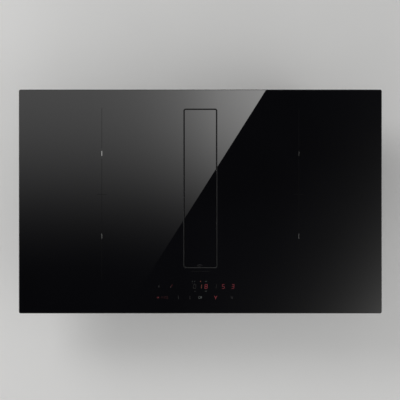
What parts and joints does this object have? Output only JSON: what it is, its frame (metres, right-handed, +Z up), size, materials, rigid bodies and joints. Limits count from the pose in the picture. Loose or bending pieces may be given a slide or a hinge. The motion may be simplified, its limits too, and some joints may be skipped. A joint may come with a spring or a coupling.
{
  "type": "downdraft induction cooktop",
  "caption": "Built-in induction hob with a flush tilting glass flap over a lift-out filter cassette, and an extractor blower with a flat rear duct outlet underneath.",
  "frame": {"origin": "middle of the glass in plan, at the height of the worktop's surface", "axes": "+X to the user's right, +Y to the rear, +Z up"},
  "size_m": [0.83, 0.512, 0.218],
  "materials": {
    "black_ceramic_glass": "polished black glass ceramic with ground edges",
    "grey_foam": "closed-cell sealing foam",
    "galvanised_steel": "spangled zinc coat",
    "zinc_screws": "bright zinc",
    "spring_steel": "bare spring steel",
    "black_moulding": "fine moulded grain",
    "stainless_mesh": "brushed stainless",
    "stainless_sheet": "brushed stainless",
    "mica": "pressed mica board",
    "litz_windings": "enamelled strands",
    "white_moulding": "glass-filled nylon",
    "ferrite": "sintered ferrite",
    "aluminium_sheet": "mill finish",
    "aluminium_extrusion": "extruded",
    "circuit_board": "solder mask",
    "components": "sleeved capacitors and chokes",
    "fan_plastic": "moulded",
    "display_red": "segment display blocks",
    "black_polypropylene": "moulded with a fine grain",
    "grey_polypropylene": "moulded",
    "black_rubber": "moulded rubber",
    "motor_steel": "pressed steel",
    "grey_moulding": "moulded"
  },
  "bodies": {
    "housing": {"glass_plate": "black_ceramic_glass", "perimeter_gasket": "grey_foam", "glass_frame": "galvanised_steel", "base_tray": "galvanised_steel", "side_panels": "galvanised_steel", "frame_screws": "zinc_screws", "clip_screws": "zinc_screws", "spring_clips": "spring_steel", "intake_collar": "black_moulding", "sleeve_seal": "grey_foam", "mica_sheets": "mica", "coil_windings": "litz_windings", "coil_formers": "white_moulding", "ferrite_bars": "ferrite", "coil_plates": "aluminium_sheet", "plate_posts": "white_moulding", "temperature_sensors": "white_moulding", "power_boards": "circuit_board", "heat_sinks": "aluminium_extrusion", "power_components": "components", "board_standoffs": "white_moulding", "left_fan_housing": "fan_plastic", "right_fan_housing": "fan_plastic", "touch_holder": "white_moulding", "touch_board": "circuit_board", "touch_springs": "spring_steel", "display_modules": "display_red", "terminal_block": "white_moulding", "terminal_cover": "fan_plastic", "cable_gland": "fan_plastic", "gland_nut": "fan_plastic", "air_box_tub": "black_polypropylene", "air_box_lid": "black_polypropylene", "air_box_screws": "zinc_screws", "scroll_base": "black_polypropylene", "scroll_cover": "black_polypropylene", "scroll_screws": "zinc_screws", "rubber_mounts": "black_rubber", "blower_motor": "motor_steel", "motor_screws": "zinc_screws", "outlet_spigot": "black_polypropylene", "spigot_screws": "zinc_screws", "control_box": "grey_moulding", "control_box_cover": "grey_moulding", "control_box_screws": "zinc_screws", "control_board": "circuit_board"},
    "cassette": {"cassette_frame": "black_moulding", "filter_basket": "stainless_mesh"},
    "flap": {"flap_glass": "black_ceramic_glass", "flap_carrier": "stainless_sheet", "pivot_pins": "stainless_sheet"},
    "blower_rotor": {"blower_wheel": "grey_polypropylene", "wheel_blades": "grey_polypropylene", "wheel_ring": "grey_polypropylene", "motor_shaft": "motor_steel", "wheel_nut": "zinc_screws"},
    "left_fan": {"left_fan_rotor": "fan_plastic"},
    "right_fan": {"right_fan_rotor": "fan_plastic"},
    "condensate": {"condensate_tray": "grey_polypropylene"}
  },
  "joints": [
    {"name": "cassette_lift", "type": "slide", "parent": "housing", "child": "cassette", "axis": [0, 0, 1], "range_m": [0, 0.125]},
    {"name": "flap_tilt", "type": "hinge", "parent": "cassette", "child": "flap", "pos_m": [0, 0.0302, -0.002], "axis": [0, 1, 0], "range_deg": [-60, 60]},
    {"name": "blower_spin", "type": "hinge", "parent": "housing", "child": "blower_rotor", "pos_m": [0.176, 0.055, -0.16], "axis": [0, 0, 1], "continuous": true},
    {"name": "left_fan_spin", "type": "hinge", "parent": "housing", "child": "left_fan", "pos_m": [-0.2673, -0.1919, -0.04], "axis": [0, 0, 1], "continuous": true},
    {"name": "right_fan_spin", "type": "hinge", "parent": "housing", "child": "right_fan", "pos_m": [0.2673, -0.1919, -0.04], "axis": [0, 0, 1], "continuous": true},
    {"name": "condensate_release", "type": "slide", "parent": "housing", "child": "condensate", "axis": [0, 0, -1], "range_m": [0, 0.06]}
  ]
}
